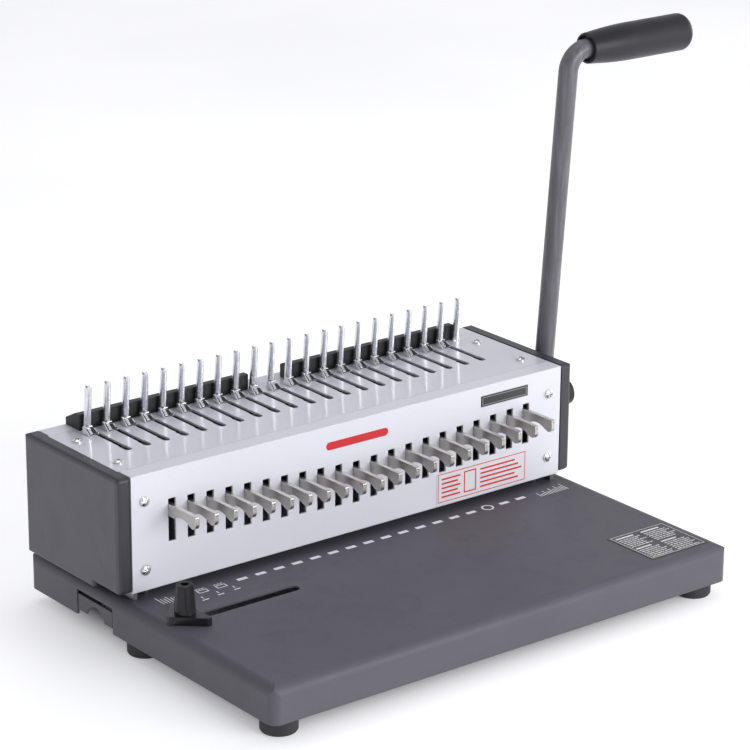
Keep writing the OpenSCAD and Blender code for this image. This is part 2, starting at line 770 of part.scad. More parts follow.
// upright rod, bend to the right and the bar inside the grip
module lever_rod() {
    foot_z = 9;
    translate([0, 0, foot_z]) cylinder(r = rod_r, h = lever_len - bend_r - foot_z);
    translate([bend_r, 0, lever_len - bend_r]) rotate([90, 0, 0]) rotate([0, 0, 90])
        rotate_extrude(angle = 90) translate([bend_r, 0]) circle(r = rod_r);
    translate([bend_r - eps, 0, lever_len]) rotate([0, 90, 0])
        cylinder(r = rod_r, h = grip_x1 - 8 - rod_x - bend_r);
}
module lever_arm() {
    color(charcoal) place() difference() {
        union() {
            xcyl(12, boss_x0, boss_x1, shaft_y, shaft_z);
            translate([rod_x, shaft_y, shaft_z]) rotate([lever_lean, 0, 0]) lever_rod();
        }
        xcyl(shaft_r, boss_x0 - 2, boss_x1 + 2, shaft_y, shaft_z);
    }
}
module lever_grip() {
    x0 = rod_x + bend_r;
    length = grip_x1 - x0;
    end_r = 5.5;
    // radius and distance from the inner end: flared neck, then rounded outer edge
    profile = concat(
        [[0, 0], [9.8, 0], [10.3, 0.5]],
        [for (q = [0:12]) [10.4 + 2.2 * sin(90 * q / 12), 1.5 + 0.4 * length * q / 12]],
        [for (q = [0:9]) [12.7 - end_r + end_r * cos(9 * q), length - end_r + end_r * sin(9 * q)]],
        [[6.5, length], [0, length]]);
    color(black) place() translate([x0, shaft_y, shaft_z])
        translate([0, -lever_len * sin(lever_lean), lever_len * cos(lever_lean)])
        rotate([0, 90, 0]) difference() {
            rotate_extrude() polygon(profile);
            translate([0, 0, -1]) cylinder(r = rod_r + 0.02, h = length - 8 + 1);
            translate([0, 0, -1]) cylinder(r = 8.7, h = 4);
        }
}
module lever_washers() {
    color(steel) place() difference() {
        union() {
            xcyl(10.8, boss_x1, boss_x1 + 1.98, shaft_y, shaft_z);
            xcyl(9.2, boss_x1 + 2, boss_x1 + 4, shaft_y, shaft_z);
        }
        xcyl(bolt_r + 0.2, boss_x1 - 1, boss_x1 + 6, shaft_y, shaft_z);
    }
}
// socket-head bolt into the end of the shaft
module lever_bolt() {
    color(black) place() difference() {
        union() {
            xcyl(9, boss_x1 + 4, boss_x1 + 14, shaft_y, shaft_z);
            xcyl(bolt_r, boss_x1 - 15, boss_x1 + 5, shaft_y, shaft_z);
        }
        translate([boss_x1 + 9, shaft_y, shaft_z]) rotate([0, 90, 0])
            cylinder(r = 4.6, h = 10, $fn = 6);
    }
}

// ---------- rails and labels on the casing ----------
// the outer end (side -1 left, 1 right) is cut back at a slant; the inner end loses its rear corner
module rail(x0, x1, side) {
    outer_x = side < 0 ? x0 : x1;
    inner_x = side < 0 ? x1 : x0;
    rear_y = 103.4;
    peak_z = top_z + 10.6;
    difference() {
        along_x(x0, x1) polygon([[87.8, top_z], [87.8, peak_z], [92.5, peak_z],
                                 [rear_y, top_z + 5], [rear_y, top_z]]);
        translate([outer_x, 80, top_z + 1.5]) rotate([0, side * 42, 0])
            translate([side < 0 ? -30 : 0, 0, 0]) cube(30);
        translate([inner_x, 0, top_z - 1]) linear_extrude(20)
            polygon([[-side, 95.5], [0, 95.5], [side * 11, 104.2], [-side, 104.2]]);
    }
}
module rear_rails() {
    color(black) place() {
        rail(-152.5, -21.5, -1);
        rail(10, 151.5, 1);
    }
}
label_t = 0.3;  // thickness of the labels on the front panel
// one at the top right of the front panel, one at the front right of the base
module dark_labels() {
    color(black) place() {
        box(103.8, 144.1, -label_t, 0, base_z + 67.2, base_z + 74.7);
        box(base_x1 - 56.3, base_x1 - 8, base_y0 + 11.2, base_y0 + 54.5, base_z, base_z + 0.25);
    }
}
module info_label() {
    color(silver) place() box(67, 144.2, -label_t, 0, base_z + 6.7, base_z + 28.8);
}

// ---------- chip tray ----------
module chip_tray() {
    x0 = base_x0 + 0.2;
    x1 = 150;
    y0 = 14;
    y1 = 52;
    z0 = foot_h + 3.5;
    z1 = foot_h + 14.3;
    wall = 1.2;
    pull_x = x0 + 26;  // inner end of the finger opening
    color(charcoal) place() difference() {
        union() {
            difference() {
                box(x0, x1, y0, y1, z0, z1);
                box(x0 + 1.5, x1 - wall, y0 + wall, y1 - wall, z0 + wall, z1 + 5);
            }
            // wall behind the finger opening
            box(pull_x, pull_x + wall, y0, y1, z0, z1 - 1);
        }
        // finger opening: arc in the left wall and window in the floor
        xcyl(10.3, x0 - 2, x0 + 4, 32.6, z0 - 2.9);
        box(x0 + 1, pull_x, 20, 49, z0 - 1, z0 + 2);
    }
}

// ---------- side guide ----------
guide_h = 5.2;
guide_gap = 0.05;
clamp_r = 2.5;  // radius of the knob's stem
// X and Y of the plate's corners, from the clamp knob
guide_outline = [
    [8.4, -16.4], [8.4, 21.5], [-2.4, 12], [-12.2, 1.9], [-12.2, -0.5], [-9.6, -3.2],
    [5.4, -16.4]];

module edge_guide() {
    key_y = guide_w / 2 - 0.1;
    color(black) place() difference() {
        union() {
            translate([0, 0, base_z]) linear_extrude(guide_h)
                polygon([for (p = guide_outline) [guide_x, guide_y] + p]);
            // key that slides in the slot of the base
            translate([0, 0, under_z + guide_gap]) linear_extrude(base_t + 1)
                oblong(guide_x - 4.6, guide_x + 5, guide_y - key_y, guide_y + key_y);
        }
        zcyl(clamp_r + 0.1, base_z - 5, base_z + 10, guide_x, guide_y);
    }
}
module guide_nut() {
    z1 = under_z - guide_gap;
    color(steel) place() difference() {
        box(guide_x - 7, guide_x + 9, guide_y - 8, guide_y + 8, z1 - 3, z1);
        zcyl(clamp_r + 0.05, base_z - 10, base_z + 10, guide_x, guide_y);
    }
}
// tapered knob with eight grooves and a recess in its top
module guide_knob() {
    color(black) place() translate([guide_x, guide_y, base_z + guide_h + guide_gap]) difference() {
        union() {
            cylinder(r1 = 6.8, r2 = 5.4, h = knob_h);
            translate([0, 0, -12]) cylinder(r = clamp_r, h = 13);
        }
        for (a = [0:45:315])
            rotate(a + 22.5) translate([7.9, 0, 2.2]) rotate([0, -4.4, 0])
                cylinder(r = 1.9, h = knob_h);
        translate([0, 0, knob_h - 5]) cylinder(r = 2.7, h = 6);
    }
}

base_plate();
rubber_feet();
foot_screws();
die_plate();
paper_stop();
punch_guide();
die_screws();
left_side_frame();
right_side_frame();
frame_screws();
beam_guide_posts();
shaft_bushes();
front_panel();
top_plate();
rear_cover();
left_end_cap();
right_end_cap();
casing_screws();
comb_prongs();
rear_rails();
dark_labels();
info_label();
main_shaft();
lever_arm();
lever_grip();
lever_washers();
lever_bolt();
punch_cams();
rack_sectors();
punch_beam();
punch_pins();
beam_springs();
comb_carriage();
comb_hooks();
carriage_racks();
chip_tray();
edge_guide();
guide_nut();
guide_knob();
pin_pull(1);  // pin_pull_01
pin_pull(2);  // pin_pull_02
pin_pull(3);  // pin_pull_03
pin_pull(4);  // pin_pull_04
pin_pull(5);  // pin_pull_05
pin_pull(6);  // pin_pull_06
pin_pull(7);  // pin_pull_07
pin_pull(8);  // pin_pull_08
pin_pull(9);  // pin_pull_09
pin_pull(10);  // pin_pull_10
pin_pull(11);  // pin_pull_11
pin_pull(12);  // pin_pull_12
pin_pull(13);  // pin_pull_13
pin_pull(14);  // pin_pull_14
pin_pull(15);  // pin_pull_15
pin_pull(16);  // pin_pull_16
pin_pull(17);  // pin_pull_17
pin_pull(18);  // pin_pull_18
pin_pull(19);  // pin_pull_19
pin_pull(20);  // pin_pull_20
pin_pull(21);  // pin_pull_21
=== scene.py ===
"""Looks for a comb binding machine: finishes, comb prongs, hooks, springs, prints and a studio.

The custom pieces are drawn in millimetres: X runs along the machine with 0 at the middle punch
hole, Y runs from the front panel (0) to the rear, Z is up from the floor.
Materials, floor, lights and camera settings are in metres unless noted.
"""
import bpy
import bmesh
import math
import random
from mathutils import Matrix, Vector


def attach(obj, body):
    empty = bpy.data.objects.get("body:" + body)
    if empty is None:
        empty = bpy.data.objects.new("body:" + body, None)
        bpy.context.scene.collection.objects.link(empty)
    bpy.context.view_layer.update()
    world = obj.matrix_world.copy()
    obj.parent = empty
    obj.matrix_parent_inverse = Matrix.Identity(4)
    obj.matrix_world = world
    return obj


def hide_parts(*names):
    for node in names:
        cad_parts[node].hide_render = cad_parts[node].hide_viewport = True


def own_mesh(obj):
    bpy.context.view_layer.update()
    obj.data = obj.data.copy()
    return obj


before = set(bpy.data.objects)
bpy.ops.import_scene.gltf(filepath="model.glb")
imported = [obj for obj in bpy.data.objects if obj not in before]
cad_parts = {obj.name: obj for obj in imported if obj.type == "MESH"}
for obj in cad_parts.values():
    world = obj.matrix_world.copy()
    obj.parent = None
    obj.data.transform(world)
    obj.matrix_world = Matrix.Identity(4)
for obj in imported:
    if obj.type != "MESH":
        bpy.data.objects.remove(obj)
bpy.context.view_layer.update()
scene = bpy.context.scene

# Driving dimensions, in mm
ORIGIN_X, ORIGIN_Y = -56.25, 22.5  # the drawing's origin in the machine's frame
TO_MACHINE = Matrix.Scale(0.001, 4) @ Matrix.Translation((ORIGIN_X, ORIGIN_Y, 0.0))
PITCH = 14.2875     # between punch holes, prongs and hooks
FIRST_X = -145.8    # leftmost hook slot
BASE_Z = 34.4       # top of the base plate
TOP_Z = 116.0       # top of the top plate


# ------------------------------------------------------------------ shader graphs
class Graph:
    """A cleared node tree with short ways to add nodes."""

    def __init__(self, owner):
        owner.use_nodes = True
        self.tree = owner.node_tree
        self.tree.nodes.clear()

    def new(self, kind, sockets=None, **props):
        """Add a node; sockets maps input names to values or to outputs to link."""
        node = self.tree.nodes.new(kind)
        for key, value in props.items():
            setattr(node, key, value)
        for key, value in (sockets or {}).items():
            self.feed(node.inputs[key], value)
        return node

    def link(self, output, socket):
        self.tree.links.new(output, socket)

    def feed(self, socket, value):
        if hasattr(value, "is_output"):
            self.link(value, socket)
        else:
            socket.default_value = value

    def ramp(self, value, start, end, low=0.0, high=1.0):
        """Smooth step from low to high as the value goes from start to end."""
        sockets = {"Value": value, "From Min": start, "From Max": end, "To Min": low, "To Max": high}
        return self.new("ShaderNodeMapRange", sockets, interpolation_type="SMOOTHSTEP").outputs[0]

    def math(self, operation, first, second=None):
        sockets = {0: first} if second is None else {0: first, 1: second}
        return self.new("ShaderNodeMath", sockets, operation=operation).outputs[0]

    def mix(self, factor, first, second, blend="MIX"):
        node = self.new("ShaderNodeMix", {"Factor": factor}, data_type="RGBA", blend_type=blend)
        sockets = [s for s in node.inputs if s.type == "RGBA"]
        for socket, value in zip(sockets, (first, second)):
            self.feed(socket, (*value, 1.0) if isinstance(value, tuple) else value)
        return [s for s in node.outputs if s.type == "RGBA"][0]

    def tint(self, mask, amount, colour, other):
        """Mix the other colour in where the mask is high."""
        return self.mix(self.math("MULTIPLY", mask, amount), colour, other)


class Finish(Graph):
    """A material with one Principled shader, textured in object coordinates."""

    def __init__(self, name):
        self.mat = bpy.data.materials.new(name)
        super().__init__(self.mat)
        output = self.new("ShaderNodeOutputMaterial")
        self.bsdf = self.new("ShaderNodeBsdfPrincipled")
        self.link(self.bsdf.outputs[0], output.inputs[0])
        self.place = self.new("ShaderNodeTexCoord").outputs["Object"]

    def stretched(self, scale):
        sockets = {"Vector": self.place, "Scale": scale}
        return self.new("ShaderNodeMapping", sockets).outputs[0]

    def noise(self, scale, detail, rough=0.6, vector=None, distortion=0.0):
        vector = self.place if vector is None else vector
        sockets = {"Vector": vector, "Scale": scale, "Detail": detail, "Roughness": rough,
                   "Distortion": distortion}
        return self.new("ShaderNodeTexNoise", sockets).outputs[0]

    def spots(self, start, end, low=0.0, high=1.0, **noise):
        """Noise sharpened to a mask."""
        return self.ramp(self.noise(**noise), start, end, low, high)

    def swing(self, noise, amount):
        """Noise centred on zero."""
        return self.math("MULTIPLY", self.math("SUBTRACT", noise, 0.5), amount)

    def bevel_normal(self, radius):
        node = self.new("ShaderNodeBevel", {"Radius": radius})
        node.samples = 4
        return node.outputs[0]

    def edge_mask(self, radius, normal):
        """How far the rounded normal turns from the named geometry normal."""
        rounded = self.bevel_normal(radius)
        geometry = self.new("ShaderNodeNewGeometry")
        dot = self.new("ShaderNodeVectorMath", {0: rounded, 1: geometry.outputs[normal]},
                       operation="DOT_PRODUCT")
        return self.math("SUBTRACT", 1.0, dot.outputs["Value"])


MATERIALS = {}


def surface(name, colour, mottle, rough, metallic=0.0, spec=0.5, coat=0.0, coat_rough=0.09,
            mottle_scale=18.0, mottle_amount=0.6,
            fleck=0.0, fleck_scale=2200.0, fleck_colour=None, dust=0.0, streak=None, face=None,
            rough_var=0.08, smudge=0.0, brush=None, bump=0.15, bump_scale=1400.0, bump_dist=6e-5,
            bevel=0.0004, rim=None, wear_and_highlight=0.0, wear_and_highlight_colour=None, wear_and_highlight_rough=0.3):
    """Two mottled tones with flecks, rubbed edges that are partly painted highlights, grain and
    uneven roughness.

    brush: scale of a directional grain.  streak: faint drawn lines.  rim: darkened edges.
    face: another tone on the faces that look along one axis.
    """
    g = Finish(name)

    # colour
    mask = g.spots(scale=mottle_scale, detail=4.0, start=0.3, end=0.72)
    shade = g.tint(mask, mottle_amount, colour, mottle)
    if fleck:
        mask = g.spots(scale=fleck_scale, detail=1.0, rough=0.5, start=0.52, end=0.72)
        shade = g.tint(mask, fleck, shade, fleck_colour or mottle)
    if dust:
        mask = g.spots(scale=60.0, detail=6.0, rough=0.7, start=0.5, end=0.8)
        shade = g.tint(mask, dust, shade, (0.45, 0.44, 0.42))
    if streak:
        vector = g.stretched(streak["scale"])
        mask = g.spots(scale=1.0, detail=3.0, vector=vector, start=0.42, end=0.68)
        shade = g.tint(mask, streak["amount"], shade, streak["colour"])
    if face:
        geometry = g.new("ShaderNodeNewGeometry")
        split = g.new("ShaderNodeSeparateXYZ", {0: geometry.outputs["True Normal"]})
        facing = g.math("ABSOLUTE", split.outputs[face["axis"]])
        facing = g.ramp(facing, face["start"], face["end"])
        mask = g.spots(scale=mottle_scale * 4.0, detail=4.0, start=0.3, end=0.72)
        darker = tuple(0.82 * channel for channel in face["colour"])
        shade = g.mix(facing, shade, g.tint(mask, 0.5, face["colour"], darker))

    # roughness
    noise = g.noise(scale=mottle_scale * 2.3, detail=5.0, rough=0.65)
    roughness = g.math("ADD", g.swing(noise, rough_var * 2.0), rough)
    if face:
        change = g.math("MULTIPLY", facing, face["rough"] - rough)
        roughness = g.math("ADD", roughness, change)
    if smudge:
        mask = g.spots(scale=38.0, detail=2.0, rough=0.5, distortion=1.5, start=0.52, end=0.66)
        roughness = g.math("ADD", roughness, g.math("MULTIPLY", mask, smudge))

    # grain over softly rounded edges
    if brush:
        grain = g.noise(scale=1.0, detail=4.0, vector=g.stretched(brush))
        roughness = g.math("ADD", roughness, g.swing(grain, amount=0.14))
    else:
        grain = g.noise(scale=bump_scale, detail=3.0)
    rounded = g.bevel_normal(bevel)
    relief = g.new("ShaderNodeBump", {"Strength": bump, "Distance": bump_dist, "Height": grain,
                                      "Normal": rounded})
    g.link(relief.outputs[0], g.bsdf.inputs["Normal"])

    # edges
    if rim:
        edge = g.ramp(g.edge_mask(rim["width"], "True Normal"), start=0.01, end=0.10)
        uneven = g.spots(scale=90.0, detail=3.0, start=0.2, end=0.6, low=0.75, high=1.0)
        shade = g.tint(g.math("MULTIPLY", edge, rim["amount"]), uneven, shade, rim["colour"])
    # rubbed edges in their own colour; where that colour is near white, on the silver paints and the
    # satin nickel, it is a painted highlight
    if wear_and_highlight:
        edge = g.edge_mask(max(bevel * 1.8, 0.0009), "Normal")
        broken = g.spots(scale=260.0, detail=5.0, rough=0.7, start=0.45, end=0.62)
        edge = g.ramp(edge, start=0.03, end=0.22)
        edge = g.math("MULTIPLY", edge, g.math("MULTIPLY", broken, wear_and_highlight))
        shade = g.mix(edge, shade, wear_and_highlight_colour)
        change = g.math("MULTIPLY", edge, wear_and_highlight_rough - rough)
        roughness = g.math("ADD", roughness, change)

    clamp = g.new("ShaderNodeClamp", {0: roughness, "Min": 0.04, "Max": 1.0})
    values = {"Roughness": clamp.outputs[0], "Base Color": shade, "Metallic": metallic,
              "Specular IOR Level": spec}
    if coat:
        values.update({"Coat Weight": coat, "Coat Roughness": coat_rough})
    for key, value in values.items():
        g.feed(g.bsdf.inputs[key], value)
    MATERIALS[name] = g.mat


# ------------------------------------------------------------------ materials
POWDER = dict(fleck_scale=2600.0, bump_scale=1500.0, rough_var=0.05)
# the near-white rubbed edges of the silver paints are painted highlights
SILVER = dict(mottle_scale=9.0, fleck=0.45, fleck_scale=3200.0, bump_scale=2600.0,
              wear_and_highlight_colour=(0.93, 0.93, 0.96), smooth=None)
del SILVER["smooth"]
PRINT = dict(bump=0.2, bump_scale=2600.0, bump_dist=2e-5, bevel=5e-5)

# charcoal paints
surface("powder_coat_charcoal", colour=(0.082, 0.078, 0.096), mottle=(0.096, 0.092, 0.112),
        rough=0.50, spec=0.4, fleck=0.35, fleck_colour=(0.13, 0.125, 0.15), bump=0.35,
        bump_dist=9e-5, bevel=0.0006, smudge=0.05, wear_and_highlight=0.2, wear_and_highlight_colour=(0.22, 0.22, 0.25),
        wear_and_highlight_rough=0.35, **POWDER)
surface("rod_charcoal", colour=(0.092, 0.088, 0.104), mottle=(0.110, 0.105, 0.122), rough=0.36,
        fleck=0.35, fleck_colour=(0.15, 0.145, 0.165), bump=0.3, bump_dist=7e-5, bevel=0.0005,
        smudge=0.04, wear_and_highlight=0.1, wear_and_highlight_colour=(0.22, 0.22, 0.25), wear_and_highlight_rough=0.35,
        streak=dict(scale=(420.0, 420.0, 9.0), amount=0.45, colour=(0.20, 0.195, 0.22)), **POWDER)
surface("cap_charcoal", colour=(0.036, 0.034, 0.044), mottle=(0.046, 0.044, 0.054), rough=0.42,
        spec=0.45, mottle_scale=14.0, fleck=0.3, fleck_colour=(0.075, 0.072, 0.086), bump=0.3,
        bump_dist=8e-5, bevel=0.0012, smudge=0.05,
        rim=dict(amount=0.9, width=0.0028, colour=(0.006, 0.006, 0.008)),
        face=dict(axis=0, start=0.6, end=0.85, colour=(0.088, 0.084, 0.102), rough=0.46),
        **POWDER)
surface("tray_charcoal", colour=(0.060, 0.058, 0.070), mottle=(0.072, 0.070, 0.084), rough=0.46,
        fleck=0.3, fleck_colour=(0.10, 0.10, 0.115), bump=0.3, bump_dist=8e-5, bevel=0.0005,
        smudge=0.05, wear_and_highlight=0.3, wear_and_highlight_colour=(0.2, 0.2, 0.22), **POWDER)

# silver paints
surface("silver_paint", colour=(0.675, 0.680, 0.745), mottle=(0.715, 0.720, 0.785), rough=0.42,
        metallic=0.12, fleck_colour=(0.84, 0.85, 0.92), bump=0.25, bump_dist=4e-5,
        rough_var=0.05, wear_and_highlight=0.45, bevel=0.0008, smudge=0.06, **SILVER)
surface("silver_gloss", colour=(0.60, 0.605, 0.670), mottle=(0.64, 0.645, 0.705), rough=0.36,
        metallic=0.15, fleck_colour=(0.76, 0.77, 0.83), bump=0.2, bump_dist=3e-5,
        rough_var=0.04, wear_and_highlight=0.5, bevel=0.0006, smudge=0.05, coat=0.5, **SILVER)

# bright plating
# the near-white rubbed edges of the pulls are painted highlights
surface("satin_nickel", colour=(0.545, 0.520, 0.485), mottle=(0.60, 0.575, 0.540), rough=0.30,
        metallic=1.0, mottle_scale=60.0, brush=(900.0, 60.0, 2200.0), bump=0.22, bump_dist=3e-5,
        rough_var=0.06, bevel=0.0003, smudge=0.05, wear_and_highlight=0.7, wear_and_highlight_colour=(0.94, 0.92, 0.89),
        wear_and_highlight_rough=0.16)
surface("chrome_plate", colour=(0.80, 0.81, 0.845), mottle=(0.70, 0.71, 0.745), rough=0.24,
        metallic=1.0, mottle_scale=210.0, mottle_amount=0.8, brush=(500.0, 500.0, 120.0),
        bump=0.12, bump_dist=3e-5, rough_var=0.06, bevel=0.0002, smudge=0.06)
surface("hook_plate", colour=(0.93, 0.93, 0.95), mottle=(0.76, 0.77, 0.79), rough=0.24,
        metallic=1.0, mottle_scale=260.0, mottle_amount=0.7, bump=0.2, bump_scale=1800.0,
        bump_dist=3e-5, bevel=0.0003, wear_and_highlight=0.7, wear_and_highlight_colour=(0.94, 0.94, 0.95), wear_and_highlight_rough=0.12)
surface("zinc_screw", colour=(0.72, 0.72, 0.73), mottle=(0.62, 0.62, 0.62), rough=0.22,
        metallic=1.0, mottle_scale=300.0, bump=0.2, bump_scale=2500.0, bump_dist=3e-5,
        rough_var=0.1, bevel=0.0002, wear_and_highlight=0.3, wear_and_highlight_colour=(0.9, 0.9, 0.9))

# bare metals
surface("mill_steel", colour=(0.32, 0.32, 0.335), mottle=(0.24, 0.24, 0.25), rough=0.36,
        metallic=1.0, mottle_scale=40.0, brush=(70.0, 1800.0, 1800.0), bump=0.3, bump_dist=4e-5,
        rough_var=0.12, smudge=0.1, wear_and_highlight=0.4, wear_and_highlight_colour=(0.6, 0.6, 0.61))
surface("ground_steel", colour=(0.56, 0.565, 0.58), mottle=(0.46, 0.465, 0.48), rough=0.2,
        metallic=1.0, mottle_scale=70.0, brush=(1600.0, 1600.0, 90.0), bump=0.2, bump_dist=3e-5,
        rough_var=0.1, smudge=0.08)
surface("bush_bronze", colour=(0.50, 0.33, 0.13), mottle=(0.38, 0.25, 0.11), rough=0.34,
        metallic=1.0, mottle_scale=90.0, bump=0.3, bump_scale=1200.0, rough_var=0.12,
        wear_and_highlight=0.3, wear_and_highlight_colour=(0.75, 0.6, 0.35))
surface("spring_steel", colour=(0.16, 0.155, 0.155), mottle=(0.10, 0.095, 0.095), rough=0.34,
        metallic=1.0, mottle_scale=200.0, bump=0.2, bump_scale=1800.0, rough_var=0.1,
        bevel=0.0001)
surface("oiled_steel", colour=(0.15, 0.148, 0.15), mottle=(0.10, 0.098, 0.10), rough=0.30,
        metallic=1.0, mottle_scale=90.0, brush=(1600.0, 1600.0, 90.0), bump=0.2, bump_dist=3e-5,
        rough_var=0.1, smudge=0.08)

# plastics, rubbers and the blackened steel
surface("black_plastic", colour=(0.0055, 0.0055, 0.0068), mottle=(0.0085, 0.0085, 0.0100),
        rough=0.30, spec=0.4, mottle_scale=60.0, fleck=0.3, fleck_scale=2800.0,
        fleck_colour=(0.028, 0.028, 0.031), bump=0.4, bump_scale=1800.0, bevel=0.0006,
        wear_and_highlight=0.3, wear_and_highlight_colour=(0.07, 0.07, 0.074), wear_and_highlight_rough=0.35)
surface("rail_foam", colour=(0.014, 0.014, 0.015), mottle=(0.024, 0.024, 0.026), rough=0.58,
        mottle_scale=90.0, fleck=0.4, fleck_scale=1600.0, fleck_colour=(0.055, 0.055, 0.06),
        bump=0.8, bump_scale=700.0, bump_dist=2e-4, rough_var=0.1, bevel=0.0008,
        wear_and_highlight=0.4, wear_and_highlight_colour=(0.10, 0.10, 0.105), wear_and_highlight_rough=0.5,
        face=dict(axis=2, start=0.7, end=0.9, colour=(0.070, 0.068, 0.074), rough=0.70))
surface("grip_rubber", colour=(0.0085, 0.0075, 0.0115), mottle=(0.0115, 0.0105, 0.0150),
        rough=0.40, spec=0.42, mottle_scale=45.0, fleck=0.2, fleck_scale=2400.0,
        fleck_colour=(0.022, 0.020, 0.027), bump=0.3, bump_scale=1700.0, bevel=0.0006,
        smudge=0.08)
surface("foot_rubber", colour=(0.016, 0.016, 0.017), mottle=(0.024, 0.024, 0.025), rough=0.68,
        mottle_scale=120.0, fleck=0.3, fleck_colour=(0.05, 0.05, 0.05), bump=0.5,
        bump_dist=1e-4, rough_var=0.12, bevel=0.0008, dust=0.12)
surface("blackened_bolt", colour=(0.030, 0.030, 0.033), mottle=(0.045, 0.045, 0.05), rough=0.36,
        metallic=0.6, mottle_scale=200.0, bump=0.25, bump_scale=1800.0, rough_var=0.1,
        bevel=0.0003, wear_and_highlight=0.6, wear_and_highlight_colour=(0.4, 0.4, 0.42))

# labels and print
surface("label_dark", colour=(0.030, 0.030, 0.033), mottle=(0.038, 0.038, 0.041), rough=0.34,
        mottle_scale=80.0, bump=0.12, bump_scale=3000.0, bump_dist=2e-5, rough_var=0.06,
        bevel=0.0001, smudge=0.08)
surface("label_pale", colour=(0.66, 0.66, 0.69), mottle=(0.72, 0.72, 0.75), rough=0.36,
        mottle_scale=60.0, fleck=0.2, fleck_colour=(0.8, 0.8, 0.82), bump=0.12,
        bump_scale=3000.0, bump_dist=2e-5, rough_var=0.05, bevel=0.0001)
surface("print_white", colour=(0.90, 0.90, 0.90), mottle=(0.80, 0.80, 0.81), rough=0.5,
        mottle_scale=240.0, **PRINT)
surface("print_red", colour=(0.60, 0.012, 0.02), mottle=(0.52, 0.012, 0.018), rough=0.42,
        mottle_scale=160.0, rough_var=0.06, **PRINT)
surface("print_grey", colour=(0.34, 0.34, 0.35), mottle=(0.28, 0.28, 0.29), rough=0.5,
        mottle_scale=240.0, **PRINT)

# material: the loaded pieces that use it
PIECES = {
    "powder_coat_charcoal": "base_plate",
    "rod_charcoal": "lever_arm",
    "cap_charcoal": "left_end_cap right_end_cap",
    "tray_charcoal": "chip_tray",
    "silver_paint": "front_panel rear_cover",
    "silver_gloss": "top_plate",
    "chrome_plate": "comb_prongs",
    "hook_plate": "comb_hooks",
    "zinc_screw": "foot_screws die_screws frame_screws casing_screws lever_washers guide_nut",
    "mill_steel": "die_plate paper_stop punch_guide left_side_frame right_side_frame "
                  "punch_cams rack_sectors",
    "ground_steel": "main_shaft punch_pins",
    "bush_bronze": "shaft_bushes",
    "spring_steel": "beam_springs",
    "oiled_steel": "beam_guide_posts punch_beam carriage_racks",
    "black_plastic": "edge_guide guide_knob",
    "rail_foam": "rear_rails",
    "grip_rubber": "lever_grip",
    "foot_rubber": "rubber_feet",
    "blackened_bolt": "lever_bolt comb_carriage",
    "label_dark": "dark_labels",
    "label_pale": "info_label",
}
FINISH_OF = {piece: finish for finish, pieces in PIECES.items() for piece in pieces.split()}
for name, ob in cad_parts.items():
    finish = "satin_nickel" if name.startswith("pin_pull_") else FINISH_OF[name]
    ob.data.materials.clear()
    ob.data.materials.append(MATERIALS[finish])


# ------------------------------------------------------------------ mesh helpers
def add_piece(name, bm, finish, body, smooth=True, sharp=40.0):
    """Turn a drawing in mm into an object; edges over sharp degrees stay crisp."""
    bmesh.ops.recalc_face_normals(bm, faces=bm.faces)
    mesh = bpy.data.meshes.new(name)
    bm.to_mesh(mesh)
    bm.free()
    mesh.transform(TO_MACHINE)
    mesh.materials.append(MATERIALS[finish])
    ob = bpy.data.objects.new(name, mesh)
    scene.collection.objects.link(ob)
    if smooth:
        mesh.set_sharp_from_angle(angle=math.radians(sharp))
        for face in mesh.polygons:
            face.use_smooth = True
    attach(ob, body)
    return ob


def circle(count):
    """Points of the unit circle."""
    angles = [2 * math.pi * k / count for k in range(count)]
    return [(math.cos(a), math.sin(a)) for a in angles]


def rectangle(x0, x1, y0, y1):
    return [(x0, y0), (x1, y0), (x1, y1), (x0, y1)]


def prism(bm, outline, axis, start, end):
    """Closed prism along an axis; the outline holds the other two coordinates in axis order."""
    def place(point, level):
        first, second = point
        return {"x": (level, first, second), "y": (first, level, second),
                "z": (first, second, level)}[axis]
    lower = [bm.verts.new(place(point, start)) for point in outline]
    upper = [bm.verts.new(place(point, end)) for point in outline]
    bm.faces.new(lower)
    bm.faces.new(upper[::-1])
    for i in range(len(outline)):
        j = (i + 1) % len(outline)
        bm.faces.new([lower[i], upper[i], upper[j], lower[j]])


def ring_verts(bm, rings):
    return [[bm.verts.new(point) for point in ring] for ring in rings]


def band(bm, ring, other):
    """Faces between two closed rings of verts."""
    for i in range(len(ring)):
        j = (i + 1) % len(ring)
        bm.faces.new([ring[i], ring[j], other[j], other[i]])


def capped_skin(bm, rings):
    """Skin of closed rings joined in order, capped at both ends."""
    rings = ring_verts(bm, rings)
    for ring, other in zip(rings, rings[1:]):
        band(bm, ring, other)
    bm.faces.new(rings[0][::-1])
    bm.faces.new(rings[-1])


# ------------------------------------------------------------------ comb prongs
PRONG_XS = [FIRST_X - 2.4 + PITCH * i for i in range(22)]
PRONG_Y = 84.85
PRONG_HEIGHT = 31.3
PRONG_RADIUS = 2.9
PRONG_WALL = 0.55
PRONG_LEAN = math.tan(math.radians(3.5))  # towards the front
PRONG_STEPS, PRONG_ARC = 30, 13
TIP_START = 0.8                           # share of the height where the tip begins
# rise of the tip: height, centre and width; the last two as shares of the way round the wall
TIP_PEAKS = [(1.0, 0.95, 0.19), (0.78, 0.54, 0.14), (0.2, 0.05, 0.12)]


